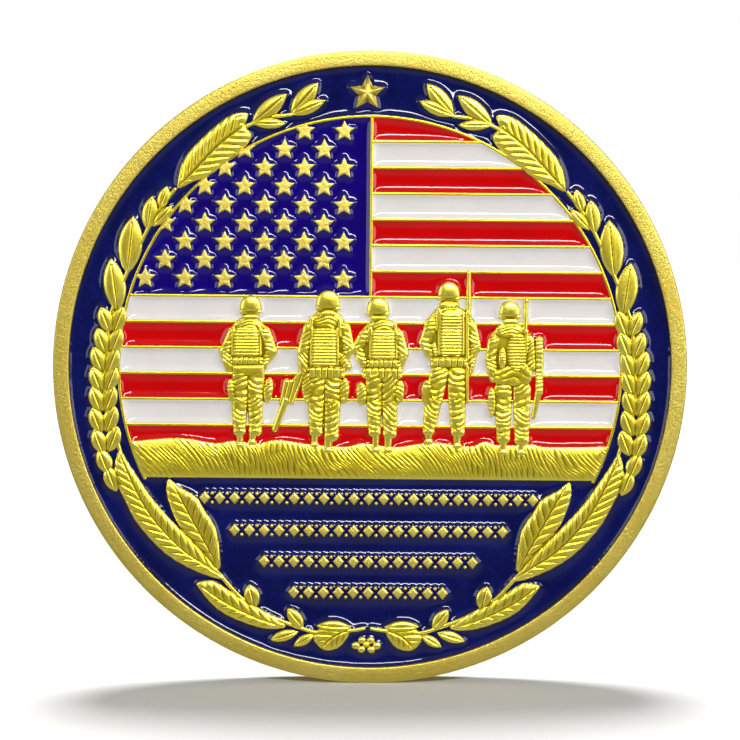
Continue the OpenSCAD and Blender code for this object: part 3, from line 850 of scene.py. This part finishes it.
def figure_1():
    c = Canvas(-12.6, -7.2, -7.2, 6.2)
    c.raised(oval((-9.75, 1.6), 1.95, 2.4), *BODY, 1.2)
    sleeve(c, (-10.9, 2.8), (-11.6, 1.3), (-11.3, 0), 0.5, 0.8)
    sleeve(c, (-8.5, 2.8), (-7.95, 1.3), (-8.5, 0.4), 0.52, -0.8)
    trousers(c, (-10.35, -0.6), (-10.45, -2.8), (-10.45, -5), 0.72, 0.52, 0.3, 0)
    trousers(c, (-9.15, -0.6), (-9.2, -2.8), (-9.15, -5), 0.72, 0.52, -0.4, 0.4)
    boot(c, (-10.4, -6.4), 0.33, 1.3)
    boot(c, (-9.4, -6.15), 0.33, 1.1)
    c.raised(oval((-11.1, -1.9), 0.36, 1, 8), *POUCH, 0.3, folds((-11.1, -1), (-11.1, -3), 0.3, 0.06))
    c.raised(oval((-8.15, -1.8), 0.4, 1.05, -8), *POUCH, 0.3,
             folds((-8.2, -1), (-8.2, -3), 0.34, 0.08, 0, 0.6))
    seat = outline([(-11.1, 0.2), (-8.45, 0.25), (-8.5, -0.6), (-9.8, -0.72), (-11, -0.55)])
    c.raised(seat, 0.66, 0.84, 0.3)
    c.raised(oval((-9.75, 3.4), 1.15, 0.62), *CLOTH, 0.5, folds((-9.75, 4), (-9.75, 2.8), 0.26, 0.08, -0.25))
    vest(c, -10.9, -8.95, 0.95, 3.1)
    belt(c, -11.05, -8.75, 0.25, 0.8)
    c.raised(bar((-8.9, 3.3), (-8.45, 2.1), 0.14, 0.12), *STRAP, 0.12)
    c.raised(bar((-10.1, 4.05), (-9.1, 4.05), 0.2, 0.2), *POUCH, 0.2)
    helmet(c, (-9.6, 4.9), 0.9)
    return c


def figure_2():
    c = Canvas(-8.3, -7.3, -1.1, 6.6)
    c.raised(bar((-7.6, -4.95), (-6.75, -2.6), 0.26, 0.28), 0.62, 0.84, 0.24)
    c.raised(outline([(-7.3, -2.9), (-6.9, -0.9), (-6.2, -0.9), (-5.7, -0.2), (-5.2, -0.5), (-6.1, -2.9)]),
             0.64, 0.8, 0.2, grooves([[(-7, -2.9), (-6.5, -0.8)], [(-6.6, -2.9), (-6.1, -1)],
                                       [(-6.3, -2.9), (-5.5, -0.6)]], 0.06, 0.09))
    c.raised(oval((-3.5, 1.8), 2, 2.5), *BODY, 1.2)
    sleeve(c, (-4.9, 3.1), (-5.35, 1.3), (-5.35, -0.4), 0.5, 0.9)
    sleeve(c, (-2.1, 3.2), (-1.75, 1.6), (-2.2, 0.5), 0.5, -0.9)
    c.raised(bar((-2.4, 0.9), (-1.8, 0.15), 0.4, 0.36), 0.64, 0.83, 0.3,
             folds((-2.4, 0.9), (-1.8, 0.1), 0.28, 0.1, 0.3))
    c.raised(oval((-4.95, -1.7), 0.55, 1.3, 8), *POUCH, 0.4,
             folds((-4.95, -0.6), (-4.95, -3), 0.34, 0.1, 0.3, 0.7))
    c.raised(oval((-2.05, -1.8), 0.42, 1.05, -4), *POUCH, 0.3,
             folds((-2, -0.8), (-2, -2.9), 0.34, 0.08, 0, 0.5))
    trousers(c, (-4.25, -1), (-4.3, -3), (-4.3, -5), 0.74, 0.55, 0.4, 0.1)
    trousers(c, (-3, -1), (-3, -3.1), (-3.05, -5.3), 0.74, 0.6, -0.5, 0.5)
    boot(c, (-4.4, -6.3), 0.33, 1.2)
    boot(c, (-3.3, -6.75), 0.38, 1.2)
    c.raised(oval((-3.5, 3.75), 1.35, 0.9), *CLOTH, 0.7, folds((-3.5, 4.6), (-3.5, 2.9), 0.3, 0.1, -0.35))
    vest(c, -4.6, -2.75, 0.2, 3.05)
    c.raised(bar((-4.7, 4), (-4.8, 2.6), 0.16, 0.14), *STRAP, 0.13)
    c.raised(bar((-2.5, 3.9), (-2.4, 2.6), 0.16, 0.14), *STRAP, 0.13)
    belt(c, -4.9, -2.2, -0.8, 0.05, 0.5)
    c.raised(oval((-3.4, 4.35), 0.75, 0.35), *CLOTH, 0.3)
    helmet(c, (-3.4, 5.25), 1)
    return c


def figure_3():
    c = Canvas(-1.9, -7.4, 3.7, 6.1)
    c.raised(oval((0.9, 1.6), 2, 2.4), *BODY, 1.2)
    sleeve(c, (-0.35, 2.7), (-1, 1.6), (-0.5, 0.4), 0.5, 0.9)
    sleeve(c, (2.15, 2.7), (2.6, 1.2), (2.3, 0.1), 0.5, -0.9)
    c.raised(oval((-0.65, -2), 0.45, 0.95, 6), *POUCH, 0.3,
             folds((-0.6, -1.2), (-0.6, -2.9), 0.34, 0.09, 0, 0.6))
    c.raised(oval((2.35, -1.9), 0.45, 1, -6), *POUCH, 0.3,
             folds((2.4, -1), (2.4, -2.8), 0.34, 0.09, 0, -0.6))
    trousers(c, (0.35, -0.8), (0.35, -2.9), (0.4, -5), 0.7, 0.52, 0.5, 0.2)
    trousers(c, (1.6, -0.8), (1.6, -2.9), (1.65, -5.1), 0.7, 0.56, 0.7, 0.6)
    boot(c, (0.5, -6.7), 0.34, 1.5)
    boot(c, (1.5, -6.7), 0.36, 1.5)
    belt(c, -0.4, 2.4, -0.8, 0, 0.52, 0.84)
    c.raised(oval((1, 3.4), 1.1, 0.6), *CLOTH, 0.5, folds((1, 4), (1, 2.9), 0.26, 0.08, -0.25))
    vest(c, 0.15, 1.95, 0.8, 3.1)
    belt(c, -0.1, 2.2, 0.1, 0.7, 0.38)
    c.raised(bar((0, 3.5), (-0.2, 2.2), 0.14, 0.12), 0.7, 0.85, 0.12)
    c.raised(bar((2, 3.5), (2.2, 2.2), 0.14, 0.12), 0.7, 0.85, 0.12)
    c.raised(bar((0.2, 4.05), (1.1, 4.05), 0.2, 0.2), *POUCH, 0.2)
    helmet(c, (0.6, 4.8), 0.93)
    return c


def figure_4():
    c = Canvas(3.4, -7.4, 9.4, 8.1)
    c.raised(bar((7.85, 7.75), (7.85, 4.4), 0.2, 0.22), 0.62, 0.84, 0.2)
    c.raised(oval((6.4, 2.5), 2.2, 2.6), *BODY, 1.3)
    sleeve(c, (4.95, 3.6), (4.45, 2.1), (4.8, 1.2), 0.55, 0.5)
    sleeve(c, (8, 3.5), (8.4, 1.9), (8, 0.6), 0.5, -0.9)
    c.raised(bar((8.35, 1.2), (8.1, -0.3), 0.26, 0.14), *BODY, 0.2, folds((8.3, 1), (8.1, -0.3), 0.26, 0.08))
    trousers(c, (5.55, -0.4), (5.1, -2.6), (4.75, -4.9), 0.78, 0.5, 0.6, 0.1)
    trousers(c, (6.95, -0.4), (7, -2.6), (7.1, -4.9), 0.78, 0.58, -0.3, 0.5)
    boot(c, (4.75, -6), 0.36, 1)
    boot(c, (7.05, -6.3), 0.36, 1.3)
    c.raised(oval((4.55, -1.85), 0.44, 0.98), *ROLL, 0.12, grooves([[(4.1, -1.3), (5, -1.3)]], 0.05, 0.06))
    c.raised(oval((6.4, 4.3), 1.4, 0.75), *CLOTH, 0.6, folds((6.4, 4.9), (6.4, 3.6), 0.28, 0.08, -0.25))
    vest(c, 5.65, 7.3, 1.15, 4.5)
    c.raised(bar((5.45, 4.75), (5.3, 3.2), 0.17, 0.14), *HIGH_STRAP, 0.13)
    c.raised(bar((5.1, 1.9), (5.25, 1.2), 0.2, 0.2), 0.68, 0.84, 0.16,
             folds((5.1, 2), (5.2, 1.1), 0.24, 0.07))
    belt(c, 5, 7.7, 0.2, 0.9, 0.5)
    c.raised(bar((7.75, 4.6), (7.8, 0.8), 0.13, 0.13), *HIGH_STRAP, 0.12)
    c.raised(bar((7.8, 0.2), (7.85, -2.6), 0.15, 0.13), *ROLL, 0.12)
    c.raised(bar((5.75, 5.15), (6.85, 5.15), 0.26, 0.26), *ROLL, 0.22,
             folds((6.3, 5.4), (6.3, 4.9), 0.2, 0.05))
    helmet(c, (6.25, 6.1), 0.92)
    return c


def figure_5():
    c = Canvas(8.9, -7.6, 14.4, 6.2)
    c.raised(bar((12.45, 5.5), (12.4, 3), 0.18, 0.22), 0.62, 0.83, 0.18)
    c.raised(oval((12.45, 5.55), 0.24, 0.22), 0.62, 0.85, 0.2)
    c.raised(bar((13.55, 2.4), (13.6, -1.8), 0.34, 0.32), *POUCH, 0.22,
             folds((13.6, 2.4), (13.6, -1.8), 0.34, 0.08))
    c.raised(bar((13.55, -1.8), (13.15, -3.8), 0.3, 0.18), *BODY, 0.2)
    c.raised(oval((11.3, 1.5), 1.95, 2.3), *BODY, 1.2)
    sleeve(c, (9.95, 2.2), (9.7, 0.8), (9.9, -0.7), 0.5, 0.8)
    c.raised(bar((12.75, 2.4), (12.95, 0.2), 0.42, 0.36), *ROLL, 0.3,
             folds((12.8, 2.4), (13, 0.2), 0.3, 0.1, 0, 0.6))
    c.raised(oval((9.8, -2.6), 0.34, 1.2, 3), *POUCH, 0.26, folds((9.8, -1.4), (9.8, -3.8), 0.3, 0.07))
    trousers(c, (10.7, -1.6), (10.7, -3.4), (10.75, -5.4), 0.74, 0.56, 0.1, 0.2)
    trousers(c, (12.2, -1.6), (12.2, -3.4), (12.25, -5.5), 0.74, 0.6, 0.4, 0.7)
    boot(c, (10.75, -6.8), 0.35, 1.2)
    boot(c, (12.2, -6.8), 0.35, 1.2)
    seat = [(9.9, -0.2), (10.1, -1.1), (11.4, -1.35), (12.8, -1.1), (12.9, 0.2), (11.4, 0.4)]
    c.raised(outline(smooth(seat, 4, closed=True)), 0.66, 0.84, 0.35,
             folds((11.4, 0.2), (11.4, -1.3), 0.6, 0.05, -0.2))
    c.raised(oval((11.2, 3.1), 1.2, 0.7), *CLOTH, 0.5, folds((11.2, 3.8), (11.2, 2.4), 0.26, 0.08, -0.25))
    c.raised(oval((11.75, 1.4), 0.85, 1.75), 0.7, 0.87, 0.45, ribs(-0.4, 0.25, 0.09))
    c.raised(bar((11.75, -0.3), (12.4, 0.2), 0.3, 0.3), 0.68, 0.84, 0.2,
             folds((11.2, 0), (12.6, -0.2), 0.24, 0.08))
    c.raised(oval((10.6, 0.85), 0.32, 0.9), *STRAP, 0.22, folds((10.6, 1.8), (10.6, 0), 0.2, 0.09))
    c.raised(bar((12.55, 3.1), (12.5, 1.4), 0.14, 0.12), *HIGH_STRAP, 0.12)
    c.raised(bar((10.85, 3.85), (11.6, 3.85), 0.24, 0.24), *ROLL, 0.2)
    helmet(c, (11.15, 4.65), 0.88)
    return c


# ---- enamel
def bare_field():
    """A square grid over a whole field: the bare metal's heights, x, y and the cells from centre to side."""
    n = int(FIELD_R / PITCH) + 3
    x, y = np.meshgrid(np.arange(-n, n + 1) * PITCH, np.arange(-n, n + 1) * PITCH)
    return np.where(np.hypot(x, y) > FIELD_R, DEPTH, FOOT), x, y, n


def beside_line(away, width=LINE_W, top=LINE_TOP):
    """The metal's height at a distance from a raised line's middle."""
    return top - np.maximum(away - width / 2, 0) * FLANK


def stamp(metal, canvases, n):
    """Raises the field's metal to the canvases' heights."""
    for c in canvases:
        i, j = c.i0 + n, c.j0 + n
        a, b = max(0, -j), max(0, -i)
        d, e = min(c.ny, 2 * n + 1 - j), min(c.nx, 2 * n + 1 - i)
        part = metal[j + a:j + d, i + b:i + e]
        np.maximum(part, c.h[a:d, b:e], out=part)


def obverse_metal(canvases):
    """All metal of the obverse, for the enamel to lie against."""
    metal, x, y, n = bare_field()
    r = np.hypot(x, y)
    inside = r < FRAME_R
    lines = [(y > GROUND_Y, np.abs(r - FRAME_R)), (inside & (y > CANTON_Y), np.abs(x))]
    for k in range(STRIPES - 1):
        keep = inside & ((x > -LINE_W / 2) if k < SHORT_STRIPES - 1 else True)
        lines.append((keep, np.abs(y - line_y(k))))
    for keep, away in lines:
        metal = np.maximum(metal, np.where(keep, beside_line(away), FOOT))
    stamp(metal, canvases, n)
    return metal, x, y, n


def meniscus(metal, rise=0.25, reach=0.27, rounds=160):
    """How far the enamel creeps up at the metal: h = reach^2 * laplacian(h), with h = rise at the metal."""
    wet = metal < ENAMEL
    h = np.where(wet, 0.0, rise)
    a = (reach / PITCH) ** 2
    for _ in range(rounds):
        around = np.zeros_like(h)
        around[1:] += h[:-1]
        around[:-1] += h[1:]
        around[:, 1:] += h[:, :-1]
        around[:, :-1] += h[:, 1:]
        h = np.where(wet, a * around / (1 + 4 * a), rise)
    return h


def widened(mask, cells):
    """A mask grown by so many cells."""
    for _ in range(cells):
        out = mask.copy()
        out[1:] |= mask[:-1]
        out[:-1] |= mask[1:]
        out[:, 1:] |= mask[:, :-1]
        out[:, :-1] |= mask[:, 1:]
        mask = out
    return mask


def pour(name, material, slot, region, metal, creep, n, obverse=True):
    """One enamel piece over a region of the field, tucked a little under the metal round it."""
    s = ENAMEL_STEP
    level = ENAMEL - SUNK + creep
    wet = widened((metal < level) & region, TUCK)[::s, ::s]
    cells = wet[:-1, :-1] & wet[1:, :-1] & wet[:-1, 1:] & wet[1:, 1:]
    ob = slab(name, level[::s, ::s], cells, FLOOR_SHOWS, -n, -n, s, obverse)
    finished(ob, material, slot, name)


def pour_obverse(canvases):
    metal, x, y, n = obverse_metal(canvases)
    creep = meniscus(metal)
    inside = (np.hypot(x, y) < FRAME_R) & (y > GROUND_Y)
    pour("obverse_field_enamel", navy, "navy_enamel", ~inside, metal, creep, n)
    pour("canton_enamel", violet, "violet_enamel", inside & (y > CANTON_Y) & (x < 0), metal, creep, n)
    for k in range(STRIPES):
        low = line_y(k) if k < STRIPES - 1 else GROUND_Y
        high = line_y(k - 1) if k else FRAME_R
        region = inside & (y > low) & (y < high) & ((x > 0) if k < SHORT_STRIPES else True)
        hue, material = ("white", white) if k % 2 else ("red", red)
        pour(f"stripe_{k + 1:02d}_{hue}", material, f"{hue}_enamel", region, metal, creep, n)


def make_reverse():
    """The back: a raised ring, small stars in an enamelled band, and one large star."""
    c = Canvas(-FIELD_R, -FIELD_R, FIELD_R, FIELD_R)
    band = (RING_R + FIELD_R) / 2
    for k in range(SMALL_STARS):
        a = math.radians(360 / SMALL_STARS * k)
        at = (-band * math.sin(a), band * math.cos(a))
        c.raised(star(at, SMALL_STAR_R, turn=a), EDGE, 0.7, 0.2)
    relief_piece("reverse_small_stars", c, obverse=False)
    big = faceted_star((0, 0), 12.5, waist=0.4, edge=0.35, rise=0.5, shoulder=2.5, curve=0.6)
    relief_piece("reverse_star", big, obverse=False)
    profile = [(RING_R + offset, z) for offset, z in reversed(line_profile(RING_W, RING_TOP))]
    points, quads = ring_solid(profile, 540, obverse=False)
    finished(mesh_of("reverse_ring", points, quads), gold, *STRUCK)
    metal, x, y, n = bare_field()
    r = np.hypot(x, y)
    metal = np.maximum(metal, beside_line(np.abs(r - RING_R), RING_W, RING_TOP))
    stamp(metal, [c], n)
    pour("reverse_band_enamel", navy, "navy_enamel", r > RING_R, metal, meniscus(metal), n, obverse=False)


# ---- put together
make_blank()
make_lines()
branch = wreath_branch()
canvases = {
    "wreath_left": branch, "wreath_right": branch.mirrored(), "wreath_flower": flower(),
    "top_star": faceted_star((-0.4, 22.0), 1.5, STAR_WAIST, edge=EDGE, rise=0.26, shoulder=0.35, curve=0.5),
    "canton_stars": canton_stars(), "ornament_rows": ornament_rows(), "ground": ground(),
    "figure_1": figure_1(), "figure_2": figure_2(), "figure_3": figure_3(), "figure_4": figure_4(),
    "figure_5": figure_5(),
}
MATTE = ("canton_stars", "ornament_rows", "top_star")
for name, canvas in canvases.items():
    relief_piece(name, canvas, material=gold_matte if name in MATTE else gold)
pour_obverse(canvases.values())
make_reverse()


# ---- floor, light and background
def make_stage():
    size = 30.0
    me = bpy.data.meshes.new("floor")
    corners = [(-size, -size, 0), (size, -size, 0), (size, size, 0), (-size, size, 0)]
    me.from_pydata(corners, [], [(0, 1, 2, 3)])
    floor = added("floor", me)
    n = Nodes("pale_floor")
    n.shader.inputs["Base Color"].default_value = (0.52, 0.52, 0.52, 1)
    n.shader.inputs["Roughness"].default_value = 0.9
    n.shader.inputs["Specular IOR Level"].default_value = 0.0
    me.materials.append(n.material)
    floor.visible_glossy = False
    floor.visible_diffuse = False


def softbox(name, location, size, watts):
    light = bpy.data.lights.new(name, "AREA")
    light.shape, light.size, light.size_y = "RECTANGLE", size[0], size[1]
    light.energy = watts
    ob = added(name, light)
    ob.location = location
    look(ob, (0, 0, CENTRE_Z / MM))


def make_lamps():
    softbox("key", (0.09, -0.385, 0.25), (0.27, 0.055), 1.65)
    softbox("side_right", (0.30, -0.20, 0.10), (0.16, 0.20), 0.42)
    softbox("side_left", (-0.30, -0.22, 0.10), (0.16, 0.20), 0.28)
    sun = bpy.data.lights.new("from_behind", "SUN")
    sun.energy, sun.angle = 5.7, math.radians(24)
    ob = added("from_behind", sun)
    ob.location = (0, 0.42, 1)
    look(ob, (0, 0, 0))


# The room's brightness from straight down (0) to straight up (1). The camera itself sees plain white.
ROOM = ((0.0, 0.5), (0.3, 0.42), (0.43, 0.08), (0.56, 0.06), (0.75, 0.28), (1.0, 0.42))


def make_room():
    world = bpy.data.worlds.new("studio")
    bpy.context.scene.world = world
    world.use_nodes = True
    tree = world.node_tree
    add, link = tree.nodes.new, tree.links.new
    out = next(n for n in tree.nodes if n.type == "OUTPUT_WORLD")
    lit = next(n for n in tree.nodes if n.type == "BACKGROUND")
    sky, split = add("ShaderNodeTexCoord"), add("ShaderNodeSeparateXYZ")
    tone, ramp = add("ShaderNodeMapRange"), add("ShaderNodeValToRGB")
    link(sky.outputs["Generated"], split.inputs[0])
    link(split.outputs["Z"], tone.inputs["Value"])
    tone.inputs["From Min"].default_value = -1.0
    link(tone.outputs["Result"], ramp.inputs["Fac"])
    set_stops(ramp, [(at, (level, level, level)) for at, level in ROOM])
    link(ramp.outputs["Color"], lit.inputs["Strength"])
    lit.inputs["Color"].default_value = (1, 1, 1, 1)
    seen = add("ShaderNodeBackground")
    seen.inputs["Color"].default_value, seen.inputs["Strength"].default_value = (1, 1, 1, 1), 1.0
    path, mix = add("ShaderNodeLightPath"), add("ShaderNodeMixShader")
    link(path.outputs["Is Camera Ray"], mix.inputs[0])
    link(lit.outputs[0], mix.inputs[1])
    link(seen.outputs[0], mix.inputs[2])
    link(mix.outputs[0], out.inputs["Surface"])
    bpy.context.scene.view_settings.view_transform = "Standard"


make_stage()
make_lamps()
make_room()
